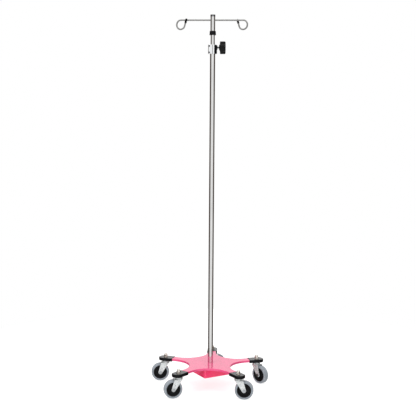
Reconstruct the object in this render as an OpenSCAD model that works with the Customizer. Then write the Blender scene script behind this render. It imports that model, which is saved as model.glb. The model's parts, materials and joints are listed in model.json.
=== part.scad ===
// Rolling drip stand: a five-leg star base on swivel casters, a steel ballast
// block, a telescopic pole locked by a knob, and a two-hook rod at the top.
// The origin is on the floor under the pole's axis. +Z is up.

/* [Pole] */
// Outside diameter of the lower tube
outer_d = 22.2; // [21:0.1:24]
// Wall of the lower tube
outer_wall = 1.5; // [1:0.1:2]
// Height of the lower tube's top end
outer_top = 1446.5; // [1200:10:1600]
// Outside diameter of the sliding tube
inner_d = 17.6; // [17:0.1:17.8]
// Wall of the sliding tube
inner_wall = 1.2; // [1:0.1:1.5]
// Length of the sliding tube
inner_len = 884; // [400:1:1000]
// Gap between the collar and the clamp when the pole stands as drawn
slide_gap = 39.5; // [5:1:600]

/* [Head] */
// Outside diameter of the head tube
head_d = 20; // [19:0.1:22]
// Length of the head tube above the collar
head_len = 67.5; // [50:1:100]
// Height of the tapered collar
collar_h = 17.5; // [10:0.5:25]
// Diameter of the hook rod
rod_d = 6.5; // [5:0.5:7]
// Hook rod axis below the head tube's top end
rod_drop = 22.8; // [15:0.1:40]
// Direction of the hook rod, with the pole's upper part turned in the lower
rod_turn = 0; // [-90:1:90]
// Sideways offset of the hook rod in its hole
rod_shift = -3.9; // [-6:0.1:6]
// Distance from the rod's middle to the top of each loop
loop_reach = 131; // [110:1:160]
// Radius of the loop's centre line
loop_r = 19; // [16:1:22]
// Angle that each loop is turned out of the rod's line
loop_turn = 23; // [22:1:30]

/* [Clamp] */
// Width of the clamp across the seam
clamp_d = 37; // [35:0.5:40]
// Depth of the clamp from front to back
clamp_depth = 31; // [30:0.5:33]
// Height of the clamp
clamp_h = 38.5; // [36:0.5:42]
// Diameter across the knob's lobes
knob_d = 54; // [40:1:55]
// Number of lobes on the knob
knob_lobes = 7; // [5:1:9]

/* [Base] */
// Distance from the pole's axis to each caster's swivel axis
caster_radius = 212; // [200:1:240]
// Height of the star plate's top face
plate_top = 104.5; // [104:0.5:116]
// Thickness of the star plate
plate_t = 9.5; // [8:0.5:10]
// Width of each leg
leg_w = 36; // [34:0.5:38]
// Distance from the pole's axis to the middle of the curve between two legs
notch_r = 97.5; // [95:0.5:100]
// Side of the square ballast block
ballast_w = 130; // [120:1:135]
// Thickness of the ballast block
ballast_t = 38; // [20:0.5:40]
// Direction of one corner of the ballast block
ballast_turn = 257.5; // [250:0.5:280]

/* [Casters] */
// Wheel diameter
wheel_d = 78; // [70:0.1:79]
// Tread width
wheel_w = 24; // [20:1:25]
// Distance from the swivel axis to the axle
trail = 24.5; // [22:0.5:30]
// Direction in which each caster trails, one for each leg
trail_turns = [35, 187, 198, -2, -44];

/* [Hidden] */
$fn = 96;

// Base
legs = 5;
leg_step = 360 / legs;
half_step = leg_step / 2;
plate_bottom = plate_top - plate_t;
ballast_bottom = plate_bottom - ballast_t;
ballast_corner_r = 4;
ballast_bolt_r = 45;
ballast_bolt_d = 8;
// The curve between two legs is an arc that runs into both leg edges
notch_centre = (notch_r - leg_w / 2) / (1 - sin(half_step));
notch_arc = notch_centre - notch_r;
leg_arc_end = notch_centre * cos(half_step);
leg_end = caster_radius + 20;

// Boots
boot_w = 45;
boot_inner = caster_radius - 38;
boot_outer = caster_radius + 31;
boot_end_r = 0.56 * boot_w;
boot_top = plate_top + 1.3;
boot_bottom = plate_bottom - 2.8;

// Pole
outer_bore = outer_d - 2 * outer_wall;
inner_bore = inner_d - 2 * inner_wall;
plug_h = 60;
plug_bolt_d = 12;
bush_h = 40;
bush_flange = 3;
bush_top = outer_top + bush_flange;
slide_fit = 0.06;
turn_fit = 0.05;

// Clamp
clamp_bottom = outer_top - 14;
clamp_top = clamp_bottom + clamp_h;
block_x = 8.5;
block_end = 20.5;
stud_z = clamp_bottom + 27;
stud_d = 8;
pad_d = 9.6;
pad_gap = 0.3;
pad_t = 4;
pad_x = inner_d / 2 + pad_gap;
pocket_end = pad_x + pad_t + 4.6;
stud_tip_d = 5;
clamp_screw_x = -13.8;
clamp_screw_inset = 6;
clamp_screw_sink = 5;
knob_hub_x = 27;
knob_x = 30.5;
knob_t = 24;
knob_hub_d = 24;
lobe_r = 7.5;

// Head
collar_bottom = clamp_top + slide_gap;
collar_top = collar_bottom + collar_h;
head_top = collar_top + head_len;
inner_top = head_top - 2;
inner_bottom = inner_top - inner_len;
rod_z = head_top - rod_drop;
glide_h = 30;
bend_r = 20;
bend_x = loop_reach - bend_r * sin(loop_turn);
rod_step = 0.06;
loop_end = 17;
tip_straight = 29.5;
tip_len = 17;
tip_d = 9;

// Casters
wheel_r = wheel_d / 2;
core_d = 60;
hub_d = 16;
axle_d = 8;
fork_gap = wheel_w + 3;
fork_t = 2.5;
crown_bottom = wheel_d + 1.5;
crown_top = crown_bottom + fork_t;
crown_r = 17;
leg_foot_r = 8.6;
race_d = 34;
race_top = boot_bottom - 3.5;
stem_d = 10;
stem_flange_d = 30;
nut_af = 15;
nut_h = 12;
swivel_gap = 0.3;

// Places a child at leg number i, which points along its local +X
module at_leg(i) {
  rotate([0, 0, 90 + leg_step * (i - 1)]) children();
}

// Places a child at caster number i, with its trail along local +X
module at_caster(i) {
  leg = 90 + leg_step * (i - 1);
  translate([caster_radius * cos(leg), caster_radius * sin(leg), 0])
    rotate([0, 0, trail_turns[i - 1]])
      children();
}

// Points of the star's core, one on each leg edge where the notch arc ends
star_points = [
  for (i = [0 : legs - 1], side = [-1, 1])
    let (leg = 90 + leg_step * i, across = side * leg_w / 2)
      [leg_arc_end * cos(leg) - across * sin(leg), leg_arc_end * sin(leg) + across * cos(leg)]
];

module star_outline() {
  difference() {
    polygon(star_points);
    for (i = [0 : legs - 1])
      rotate(90 + half_step + leg_step * i)
        translate([notch_centre, 0])
          circle(r = notch_arc, $fn = 180);
  }
  for (i = [0 : legs - 1])
    rotate(90 + leg_step * i) {
      translate([leg_arc_end - 1, -leg_w / 2])
        square([leg_end - leg_w / 2 - leg_arc_end + 1, leg_w]);
      translate([leg_end - leg_w / 2, 0])
        circle(d = leg_w);
    }
}

module base_plate() {
  color([0.96, 0.55, 0.68])
    difference() {
      translate([0, 0, plate_bottom])
        linear_extrude(plate_t)
          star_outline();
      translate([0, 0, plate_bottom - 1])
        cylinder(d = plug_bolt_d + 0.2, h = plate_t + 2);
      for (i = [1 : legs])
        at_leg(i)
          translate([caster_radius, 0, plate_bottom - 1])
            cylinder(d = stem_d, h = plate_t + 2);
      for (a = [0 : 90 : 270])
        rotate([0, 0, ballast_turn + a])
          translate([ballast_bolt_r, 0, plate_bottom - 1])
            cylinder(d = ballast_bolt_d, h = 6);
    }
}

module ballast_block() {
  inset = ballast_w / 2 - ballast_corner_r;
  color([0.9, 0.25, 0.42])
    difference() {
      translate([0, 0, ballast_bottom])
        rotate([0, 0, ballast_turn - 45])
          linear_extrude(ballast_t)
            union() {
              square([ballast_w, 2 * inset], center = true);
              square([2 * inset, ballast_w], center = true);
              for (x = [-inset, inset], y = [-inset, inset])
                translate([x, y])
                  circle(r = ballast_corner_r);
            }
      translate([0, 0, ballast_bottom - 1])
        cylinder(d = plug_bolt_d + 0.2, h = ballast_t + 2);
      translate([0, 0, ballast_bottom - 1])
        cylinder(d = 28, h = 10);
      for (a = [0 : 90 : 270])
        rotate([0, 0, ballast_turn + a])
          translate([ballast_bolt_r, 0, ballast_bottom - 1]) {
            cylinder(d = ballast_bolt_d, h = ballast_t + 2);
            cylinder(d = 14, h = 9.5);
          }
    }
}

// Four socket screws that hold the ballast block up to the plate
module ballast_bolts() {
  color([0.35, 0.36, 0.38])
    for (a = [0 : 90 : 270])
      rotate([0, 0, ballast_turn + a])
        translate([ballast_bolt_r, 0, ballast_bottom])
          difference() {
            union() {
              translate([0, 0, 0.5])
                cylinder(d = 13, h = 8);
              translate([0, 0, 8])
                cylinder(d = ballast_bolt_d, h = ballast_t - 8 + 5);
            }
            translate([0, 0, -1])
              cylinder(d = 6.5, h = 5.5, $fn = 6);
          }
}

module foot_plug() {
  color([0.6, 0.61, 0.63])
    difference() {
      translate([0, 0, plate_top])
        cylinder(d = outer_bore, h = plug_h);
      translate([0, 0, plate_top - 1])
        cylinder(d = plug_bolt_d, h = plug_h - 14);
    }
}

module foot_bolt() {
  color([0.5, 0.51, 0.53]) {
    translate([0, 0, ballast_bottom + 1])
      cylinder(d = 19 / cos(30), h = 7.8, $fn = 6);
    translate([0, 0, ballast_bottom + 8])
      cylinder(d = 26, h = 1);
    translate([0, 0, ballast_bottom + 8.5])
      cylinder(d = plug_bolt_d, h = plate_top + 40 - ballast_bottom - 8.5);
  }
}

module outer_tube() {
  color([0.8, 0.81, 0.82])
    difference() {
      translate([0, 0, plate_top])
        cylinder(d = outer_d, h = outer_top - plate_top);
      translate([0, 0, plate_top - 1])
        cylinder(d = outer_bore, h = outer_top - plate_top + 2);
    }
}

// Flanged liner that guides the sliding tube at the lower tube's mouth
module guide_bush() {
  color([0.12, 0.12, 0.13])
    difference() {
      union() {
        translate([0, 0, outer_top - bush_h])
          cylinder(d = outer_bore, h = bush_h + 1);
        translate([0, 0, outer_top])
          cylinder(d = outer_d, h = bush_flange);
      }
      translate([0, 0, outer_top - bush_h - 1])
        cylinder(d = inner_d + 2 * slide_fit, h = bush_h + bush_flange + 2);
    }
}

// The space inside the clamp: the lower tube and its bush, then the sliding tube
module clamp_bore() {
  translate([0, 0, clamp_bottom - 1])
    cylinder(d = outer_d, h = bush_top - clamp_bottom + 1);
  translate([0, 0, bush_top - 1])
    cylinder(d = inner_d + 1.2, h = clamp_h);
}

module pad_pocket() {
  translate([0, 0, stud_z])
    rotate([0, 90, 0])
      cylinder(d = pad_d + 0.6, h = pocket_end);
}

// The metal part of the clamp seen from above, with two rounded corners
module clamp_outline() {
  corner = 4;
  left = -clamp_d / 2;
  straight = clamp_depth / 2 - corner;
  translate([left, -straight])
    square([block_x - left, 2 * straight]);
  translate([left + corner, -clamp_depth / 2])
    square([block_x - left - corner, clamp_depth]);
  for (y = [-straight, straight])
    translate([left + corner, y])
      circle(r = corner);
}

module clamp_band() {
  seam = 1;
  seam_depth = 3;
  front = -clamp_depth / 2;
  color([0.86, 0.87, 0.88])
    difference() {
      translate([0, 0, clamp_bottom])
        linear_extrude(clamp_h)
          clamp_outline();
      clamp_bore();
      pad_pocket();
      translate([-seam / 2, front - 1, clamp_bottom - 1])
        cube([seam, seam_depth + 1, clamp_h + 2]);
      for (z = [clamp_screw_inset, clamp_h - clamp_screw_inset])
        translate([clamp_screw_x, front - 1, clamp_bottom + z])
          rotate([-90, 0, 0]) {
            cylinder(d = 8, h = clamp_screw_sink + 1);
            cylinder(d = 4.2, h = 26);
          }
    }
}

// Two socket screws that pinch the band onto the lower tube
module clamp_screws() {
  color([0.2, 0.2, 0.21])
    for (z = [clamp_screw_inset, clamp_h - clamp_screw_inset])
      translate([clamp_screw_x, clamp_screw_sink - clamp_depth / 2, clamp_bottom + z])
        rotate([-90, 0, 0])
          difference() {
            union() {
              translate([0, 0, -4])
                cylinder(d = 7, h = 4);
              translate([0, 0, -1])
                cylinder(d = 4.2, h = 19);
            }
            translate([0, 0, -5])
              cylinder(d = 3.5, h = 3, $fn = 6);
          }
}

module clamp_block() {
  rim = 2;
  color([0.07, 0.07, 0.08])
    difference() {
      translate([0, 0, clamp_bottom])
        intersection() {
          union() {
            rotate_extrude()
              polygon([
                [0, 0], [clamp_d / 2 - rim, 0], [clamp_d / 2, rim],
                [clamp_d / 2, clamp_h - rim], [clamp_d / 2 - rim, clamp_h], [0, clamp_h]
              ]);
            translate([0, 0, stud_z - clamp_bottom])
              rotate([0, 90, 0])
                cylinder(d = 18, h = block_end);
          }
          translate([block_x, -clamp_d, -1])
            cube([block_end, 2 * clamp_d, clamp_h + 2]);
        }
      clamp_bore();
      pad_pocket();
      translate([0, 0, stud_z])
        rotate([0, 90, 0])
          cylinder(d = stud_d + 0.1, h = block_end + 1);
    }
}

// Brass shoe that the stud presses against the sliding tube
module clamp_pad() {
  color([0.75, 0.62, 0.3])
    translate([0, 0, stud_z])
      difference() {
        translate([inner_d / 2 - 1, 0, 0])
          rotate([0, 90, 0])
            cylinder(d = pad_d, h = pad_t + 1 + pad_gap);
        translate([0, 0, -pad_d])
          cylinder(r = pad_x, h = 2 * pad_d);
        translate([pad_x + pad_t - 2.6, 0, 0])
          rotate([0, 90, 0])
            cylinder(d = stud_tip_d + 0.1, h = 3);
      }
}

module knob_stud() {
  start = pad_x + pad_t;
  color([0.75, 0.76, 0.77])
    translate([0, 0, stud_z])
      rotate([0, 90, 0]) {
        translate([0, 0, start - 2.3])
          cylinder(d = stud_tip_d, h = 4);
        translate([0, 0, start + 0.3])
          cylinder(d = stud_d, h = knob_x + 12 - start);
      }
}

module knob_outline() {
  pitch_r = knob_d / 2 - lobe_r;
  circle(r = pitch_r + 1.5);
  for (i = [0 : knob_lobes - 1])
    rotate(360 / knob_lobes * i)
      translate([pitch_r, 0])
        circle(r = lobe_r);
}

module knob() {
  crown = 3;
  color([0.06, 0.06, 0.07])
    translate([0, 0, stud_z])
      rotate([0, 90, 0])
        difference() {
          union() {
            translate([0, 0, knob_hub_x])
              cylinder(d = knob_hub_d, h = knob_x - knob_hub_x + 1);
            translate([0, 0, knob_x])
              linear_extrude(knob_t - crown)
                knob_outline();
            translate([0, 0, knob_x + knob_t - crown])
              cylinder(d1 = knob_d - 6, d2 = knob_d - 18, h = crown);
          }
          translate([0, 0, knob_hub_x - 1])
            cylinder(d = stud_d, h = knob_x + 12.3 - knob_hub_x + 1);
        }
}

// Plastic piston on the lower end of the sliding tube, which turns on it
module tube_glide() {
  spigot = 18;
  color([0.12, 0.12, 0.13]) {
    translate([0, 0, inner_bottom - glide_h])
      cylinder(d = outer_bore - 2 * slide_fit, h = glide_h - swivel_gap);
    translate([0, 0, inner_bottom - 1])
      cylinder(d = inner_bore - 2 * turn_fit, h = spigot);
  }
}

module rod_hole() {
  at_rod()
    rotate([0, 90, 0])
      cylinder(d = rod_d, h = 2 * head_d, center = true);
}

module inner_tube() {
  color([0.84, 0.85, 0.86])
    difference() {
      translate([0, 0, inner_bottom])
        cylinder(d = inner_d, h = inner_len);
      translate([0, 0, inner_bottom - 1])
        cylinder(d = inner_bore, h = inner_len + 2);
      rod_hole();
    }
}

module collar() {
  color([0.05, 0.05, 0.06])
    difference() {
      translate([0, 0, collar_bottom])
        rotate_extrude()
          polygon([
            [0, 0], [13.4, 0], [14, 0.8], [14, 3.5], [13, collar_h - 0.8],
            [12.4, collar_h], [0, collar_h]
          ]);
      translate([0, 0, collar_bottom - 1])
        cylinder(d = inner_d, h = collar_h + 2);
      translate([0, 0, collar_top - 8])
        cylinder(d = head_d, h = 9);
    }
}

module head_tube() {
  color([0.84, 0.85, 0.86])
    difference() {
      translate([0, 0, collar_top - 8])
        cylinder(d = head_d, h = head_len + 8 - 2.5);
      translate([0, 0, collar_top - 9])
        cylinder(d = inner_d, h = head_len + 10);
      rod_hole();
    }
}

module head_cap() {
  color([0.45, 0.46, 0.48]) {
    translate([0, 0, head_top - 2.5])
      rotate_extrude()
        polygon([
          [inner_d / 2, 0], [10.4, 0], [10.4, 1.7], [9.6, 2.5], [0, 2.5], [0, 0.5],
          [inner_d / 2, 0.5]
        ]);
    translate([0, 0, head_top - 14])
      cylinder(d = inner_bore, h = 13);
  }
}

// One end of the hook rod: a short bend to the side, then the loop and its
// rising end. Neighbouring stretches differ by a hair in diameter, and the
// thinner one runs a little way into the thicker one.
module hook_end() {
  lap = 1;
  translate([bend_x, -bend_r, 0])
    rotate([0, 0, 90 - loop_turn - lap])
      rotate_extrude(angle = loop_turn + 2 * lap)
        translate([bend_r, 0])
          circle(d = rod_d - rod_step);
  in_loop_plane() {
    translate([0, 0, -loop_r])
      rotate([90, 0, 0])
        rotate([0, 0, loop_end - 180])
          rotate_extrude(angle = 270 - loop_end)
            translate([loop_r, 0])
              circle(d = rod_d);
    loop_tail(-0.3)
      cylinder(d = rod_d - rod_step, h = tip_straight - 1);
  }
}

// Frame at the top of the loop, with local X along the loop's plane
module in_loop_plane() {
  translate([loop_reach, -bend_r * (1 - cos(loop_turn)), 0])
    rotate([0, 0, -loop_turn])
      children();
}

// Frame on the loop's rising end, with local Z along the wire
module loop_tail(along) {
  translate([-loop_r * cos(loop_end), 0, -loop_r - loop_r * sin(loop_end)])
    rotate([0, -loop_end, 0])
      translate([0, 0, along])
        children();
}

// Frame at the middle of the hook rod, with local X along it
module at_rod() {
  rotate([0, 0, rod_turn])
    translate([rod_shift, 0, rod_z])
      children();
}

// Places a child on the left or the right half of the hook rod
module on_hook(side) {
  at_rod()
    rotate([0, 0, side > 0 ? 0 : 180])
      children();
}

module hook_rod() {
  color([0.72, 0.72, 0.71]) {
    at_rod()
      rotate([0, 90, 0])
        cylinder(d = rod_d, h = 2 * bend_x, center = true);
    on_hook(-1)
      hook_end();
    on_hook(1)
      hook_end();
  }
}

// Plastic sleeves over the two ends of the rod
module hook_tips() {
  color([0.05, 0.05, 0.06])
    for (side = [-1, 1])
      on_hook(side)
        in_loop_plane()
          loop_tail(tip_straight - tip_len)
            difference() {
              union() {
                cylinder(d = tip_d, h = tip_len - tip_d / 2 + 2);
                translate([0, 0, tip_len - tip_d / 2 + 2])
                  sphere(d = tip_d);
              }
              translate([0, 0, -1])
                cylinder(d = rod_d - rod_step, h = tip_len - 0.3);
            }
}

// Flat at the inner end, and a shallow arc between parallel sides at the outer
module boot_outline() {
  end_x = boot_outer - boot_end_r;
  intersection() {
    union() {
      translate([boot_inner, -boot_w / 2])
        square([end_x - boot_inner, boot_w]);
      translate([end_x, 0])
        circle(r = boot_end_r);
    }
    translate([boot_inner, -boot_w / 2])
      square([boot_outer - boot_inner, boot_w]);
  }
}

// Moulded cap over the end of a leg
module boot(i) {
  color([0.07, 0.07, 0.08])
    at_leg(i)
      difference() {
        translate([0, 0, boot_bottom])
          linear_extrude(boot_top - boot_bottom)
            boot_outline();
        translate([0, 0, plate_bottom])
          linear_extrude(plate_t)
            union() {
              translate([boot_inner - 1, -leg_w / 2])
                square([leg_end - leg_w / 2 - boot_inner + 1, leg_w]);
              translate([leg_end - leg_w / 2, 0])
                circle(d = leg_w);
            }
        translate([caster_radius, 0, boot_bottom - 1])
          cylinder(d = stem_d, h = boot_top - boot_bottom + 2);
      }
}

// Fixed kingpin: a flange under the boot, a stem up through the leg, and a
// lower pin that the fork turns on
module stem(i) {
  at_caster(i)
    color([0.7, 0.71, 0.73]) {
      translate([0, 0, race_top])
        cylinder(d = stem_flange_d, h = boot_bottom - race_top);
      translate([0, 0, crown_bottom - 0.6])
        cylinder(d = stem_d, h = boot_top + 12 - crown_bottom);
      translate([0, 0, crown_bottom - 1.6])
        cylinder(d = 14, h = 1.3);
    }
}

module stem_nut(i) {
  at_caster(i)
    color([0.72, 0.7, 0.66])
      translate([0, 0, boot_top])
        difference() {
          union() {
            cylinder(d = 18.5, h = 1.2);
            translate([0, 0, 1.2])
              cylinder(d = nut_af / cos(30), h = nut_h - 1.2, $fn = 6);
            translate([0, 0, nut_h])
              cylinder(d1 = nut_af - 0.8, d2 = nut_af - 3.5, h = 3);
            translate([0, 0, nut_h + 3])
              cylinder(d1 = nut_af - 3.5, d2 = nut_af - 9, h = 2.4);
          }
          translate([0, 0, -1])
            cylinder(d = stem_d, h = 13);
        }
}

// Ball race cup that turns with the fork
module raceway(i) {
  at_caster(i)
    color([0.66, 0.67, 0.69])
      difference() {
        translate([0, 0, crown_top])
          rotate_extrude()
            polygon([
              [0, 0], [race_d / 2 - 3, 0], [race_d / 2, 3],
              [race_d / 2, race_top - swivel_gap - crown_top - 1],
              [race_d / 2 - 1, race_top - swivel_gap - crown_top],
              [0, race_top - swivel_gap - crown_top]
            ]);
        translate([0, 0, crown_top - 1])
          cylinder(d = stem_d + 0.1, h = 20);
      }
}

// Side view of a fork leg: wide at the crown, round at the axle
module fork_leg_outline() {
  top = crown_top;
  foot = [trail, wheel_r];
  back = [-13, top - 1];
  front = [21, top - 1];
  a = tangent_angle(back, foot, leg_foot_r, 1);
  b = tangent_angle(front, foot, leg_foot_r, -1);
  polygon([
    [back.x, top], back,
    foot + leg_foot_r * [cos(a), sin(a)], foot, foot + leg_foot_r * [cos(b), sin(b)],
    front, [front.x, top]
  ]);
  translate(foot)
    circle(r = leg_foot_r);
}

// Angle on a circle where the tangent from point p touches it
function tangent_angle(p, c, r, side) =
  let (d = norm(p - c), base = atan2(p.y - c.y, p.x - c.x))
    base + side * acos(r / d);

module fork(i) {
  slab = fork_gap + 2 * fork_t;
  at_caster(i)
    color([0.74, 0.75, 0.77])
      difference() {
        union() {
          for (side = [-1, 1])
            translate([0, side * (fork_gap + fork_t) / 2, 0])
              rotate([90, 0, 0])
                linear_extrude(fork_t, center = true)
                  fork_leg_outline();
          translate([0, 0, crown_bottom])
            intersection() {
              union() {
                cylinder(r = crown_r, h = fork_t);
                translate([-13, -slab / 2, 0])
                  cube([34, slab, fork_t]);
              }
              translate([-crown_r, -slab / 2, 0])
                cube([crown_r + 21, slab, fork_t]);
            }
        }
        translate([0, 0, crown_bottom - 1])
          cylinder(d = stem_d + 0.1, h = 20);
        translate([trail, 0, wheel_r])
          rotate([90, 0, 0])
            cylinder(d = axle_d, h = 2 * slab, center = true);
      }
}

// Axle bolt with its head on one side and its nut on the other
module axle(i) {
  half = fork_gap / 2 + fork_t;
  at_caster(i)
    color([0.6, 0.61, 0.63])
      translate([trail, 0, wheel_r])
        rotate([90, 0, 0]) {
          cylinder(d = axle_d, h = 2 * half + 1, center = true);
          translate([0, 0, half])
            cylinder(d = 12 / cos(30), h = 3.5, $fn = 6);
          translate([0, 0, -half - 4.5])
            cylinder(d = 12 / cos(30), h = 4.5, $fn = 6);
        }
}

// Outline of half the wheel core's section: radius along X, width along Y
core_points = [
  [0, -12.9], [hub_d / 2, -12.9], [hub_d / 2, -7], [13, -6], [21, -6], [25, -11], [core_d / 2, -11],
  [core_d / 2, 11], [25, 11], [21, 6], [13, 6], [hub_d / 2, 7], [hub_d / 2, 12.9], [0, 12.9]
];

module at_axle(i) {
  at_caster(i)
    translate([trail, 0, wheel_r])
      rotate([90, 0, 0])
        children();
}

module wheel_core(i) {
  color([0.06, 0.06, 0.07])
    at_axle(i)
      difference() {
        rotate_extrude()
          polygon(core_points);
        cylinder(d = axle_d + 0.1, h = 60, center = true);
      }
}

module tyre(i) {
  shoulder = 4;
  half = wheel_w / 2;
  color([0.62, 0.64, 0.67])
    at_axle(i)
      difference() {
        union() {
          cylinder(r = wheel_r, h = wheel_w - 2 * shoulder, center = true);
          cylinder(r = wheel_r - shoulder, h = wheel_w, center = true);
          for (side = [-1, 1])
            translate([0, 0, side * (half - shoulder)])
              rotate_extrude()
                translate([wheel_r - shoulder, 0])
                  circle(r = shoulder);
        }
        cylinder(d = core_d, h = 60, center = true);
      }
}

base_plate();
ballast_block();
ballast_bolts();
foot_plug();
foot_bolt();
outer_tube();
guide_bush();
clamp_band();
clamp_block();
clamp_screws();
clamp_pad();
knob();
knob_stud();
tube_glide();
inner_tube();
collar();
head_tube();
head_cap();
hook_rod();
hook_tips();
for (i = [1 : legs]) {
  boot(i);
  stem(i);
  stem_nut(i);
  raceway(i);
  fork(i);
  axle(i);
  wheel_core(i);
  tyre(i);
}
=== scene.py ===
"""A rolling drip stand: detailed pieces, materials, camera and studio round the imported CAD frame.

Shapes are built in millimetres and scaled to the frame's metres when a piece is made.
"""

import json
from math import acos, atan2, cos, degrees, hypot, pi, radians, sin, sqrt, tan

import bmesh
import bpy
from mathutils import Matrix, Vector


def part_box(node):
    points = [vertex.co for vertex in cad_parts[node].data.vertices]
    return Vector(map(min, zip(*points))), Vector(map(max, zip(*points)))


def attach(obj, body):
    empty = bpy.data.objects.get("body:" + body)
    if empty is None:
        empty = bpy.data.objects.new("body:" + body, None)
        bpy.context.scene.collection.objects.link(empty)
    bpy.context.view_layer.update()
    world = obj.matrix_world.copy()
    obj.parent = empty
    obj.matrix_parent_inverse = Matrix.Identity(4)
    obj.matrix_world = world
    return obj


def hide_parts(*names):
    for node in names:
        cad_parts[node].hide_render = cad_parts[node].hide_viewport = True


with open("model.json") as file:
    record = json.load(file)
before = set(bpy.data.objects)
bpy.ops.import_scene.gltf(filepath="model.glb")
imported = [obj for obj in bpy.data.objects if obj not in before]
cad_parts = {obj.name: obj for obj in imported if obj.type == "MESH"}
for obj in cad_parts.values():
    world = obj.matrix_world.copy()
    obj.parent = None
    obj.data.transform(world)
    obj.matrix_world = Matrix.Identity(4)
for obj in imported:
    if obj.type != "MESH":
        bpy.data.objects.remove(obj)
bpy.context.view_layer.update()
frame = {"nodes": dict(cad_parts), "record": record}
scene = bpy.context.scene
MM = 0.001
LEGS = range(1, 6)

# ---------------------------------------------------------------- places


def box(node):
    """Lowest and highest corner of a CAD node, in millimetres."""
    low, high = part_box(node)
    return Vector(low) / MM, Vector(high) / MM


def middle(node):
    low, high = box(node)
    return (low + high) / 2


def round_r(node):
    """Radius of an upright round CAD node."""
    low, high = box(node)
    return (high.y - low.y) / 2


def turned_z(turn):
    """Rotation about Z by a number of degrees."""
    return Matrix.Rotation(radians(turn), 4, "Z")


def heading(vector):
    """Direction of a vector seen from above, in degrees."""
    return degrees(atan2(vector.y, vector.x))


def polar(radius, angle):
    """2-D point at a radius and an angle in radians."""
    return Vector((radius * cos(angle), radius * sin(angle)))


def ring_angles(segments):
    return [2 * pi * k / segments for k in range(segments)]


ALONG_X = Matrix.Rotation(radians(90), 4, "Y")  # takes a lathe's Z to +X
ALONG_Y = Matrix.Rotation(radians(-90), 4, "X")  # takes a lathe's Z to +Y
HALF_TURN = turned_z(180)

# ---------------------------------------------------------------- shapes


def fillet(points, radii, steps=6, closed=True):
    """Rounds the corners of a 2-D outline, with one radius for each corner."""
    rounded = []
    count = len(points)
    for i, (point, radius) in enumerate(zip(points, radii)):
        p = Vector(point)
        if radius <= 0 or (not closed and i in (0, count - 1)):
            rounded.append(p)
            continue
        to_last = (Vector(points[i - 1]) - p).normalized()
        to_next = (Vector(points[(i + 1) % count]) - p).normalized()
        half = to_last.angle(to_next) / 2
        start = p + to_last * radius / tan(half)
        centre = p + (to_last + to_next).normalized() * radius / sin(half)
        bend = pi - 2 * half
        turn = -1 if to_last.cross(to_next) > 0 else 1
        for k in range(steps + 1):
            rounded.append(centre + Matrix.Rotation(turn * bend * k / steps, 2) @ (start - centre))
    return rounded


def skin(bm, rings, loop=False):
    """Joins rings of vertices with faces. A ring of one vertex closes to a point."""
    for a, b in zip(rings, rings[1:] + rings[:1] if loop else rings[1:]):
        for k in range(max(len(a), len(b))):
            corners = [a[k % len(a)], a[(k + 1) % len(a)], b[(k + 1) % len(b)], b[k % len(b)]]
            corners = list(dict.fromkeys(corners))
            if len(corners) > 2:
                bm.faces.new(corners)


def lathe(profile, segments=96, loop=True, place=Matrix(), bm=None):
    """Turns a profile of (radius, height) about Z."""
    bm = bm or bmesh.new()
    rings = []
    for r, z in profile:
        turns = ring_angles(segments) if r > 1e-6 else [0]
        rings.append([bm.verts.new(place @ Vector((*polar(r, a), z))) for a in turns])
    skin(bm, rings, loop)
    return bm


def capped_skin(bm, rings):
    """Joins rings of vertices and closes both ends."""
    skin(bm, rings)
    bm.faces.new(rings[0][::-1])
    bm.faces.new(rings[-1])
    return bm


def ring_solid(radius_at, profile, segments, place=Matrix(), bm=None):
    """A solid whose rings follow radius_at(angle, row), with a cap on each end. row[1] is the height."""
    bm = bm or bmesh.new()
    rings = []
    for row in profile:
        points = [Vector((*polar(radius_at(a, row), a), row[1])) for a in ring_angles(segments)]
        rings.append([bm.verts.new(place @ point) for point in points])
    return capped_skin(bm, rings)


def hexagon(across, profile, place=Matrix(), bm=None):
    """A hexagon head: each row is (radius of the chamfer cone, height)."""

    def radius(angle, row):
        off = angle % (pi / 3) - pi / 6
        return min(across / 2 / cos(off), row[0])

    return ring_solid(radius, profile, 48, place, bm)


def inset(outline, distance):
    """Moves a closed outline inwards. The outline runs anticlockwise."""
    moved = []
    for i, point in enumerate(outline):
        before = (point - outline[i - 1]).normalized()
        after = (outline[(i + 1) % len(outline)] - point).normalized()
        inward = Vector((-before.y - after.y, before.x + after.x)).normalized()
        spread = max(0.5, -before.y * inward.x + before.x * inward.y)
        moved.append(point + inward * distance / spread)
    return moved


SUPPORT_LOOP = 0.6  # keeps a face's shading flat up to its rounded edge


def slab(outline, bottom, top, bottom_r, top_r, steps=6):
    """A plate of a closed outline, with rounded edges and a support loop on each face."""
    bm = bmesh.new()
    rows = [(bottom_r + SUPPORT_LOOP, bottom)]
    for k in range(steps + 1):
        a = pi / 2 * k / steps
        rows.append((bottom_r * (1 - sin(a)), bottom + bottom_r * (1 - cos(a))))
    for k in range(steps + 1):
        a = pi / 2 * k / steps
        rows.append((top_r * (1 - cos(a)), top - top_r * (1 - sin(a))))
    rows.append((top_r + SUPPORT_LOOP, top))
    rings = []
    for distance, z in rows:
        rings.append([bm.verts.new(Vector((p.x, p.y, z))) for p in inset(outline, distance)])
    return capped_skin(bm, rings)


def sweep(path, radius, segments=24, place=Matrix()):
    """A round wire along a path of points, with flat ends."""
    bm = bmesh.new()
    rings = []
    across = None
    for i, point in enumerate(path):
        ahead = (path[min(i + 1, len(path) - 1)] - path[max(i - 1, 0)]).normalized()
        if across is None:
            across = ahead.orthogonal().normalized()
        across = (across - ahead * across.dot(ahead)).normalized()
        other = ahead.cross(across)
        offsets = [radius * (cos(a) * across + sin(a) * other) for a in ring_angles(segments)]
        rings.append([bm.verts.new(place @ (point + offset)) for offset in offsets])
    return capped_skin(bm, rings)


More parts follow.
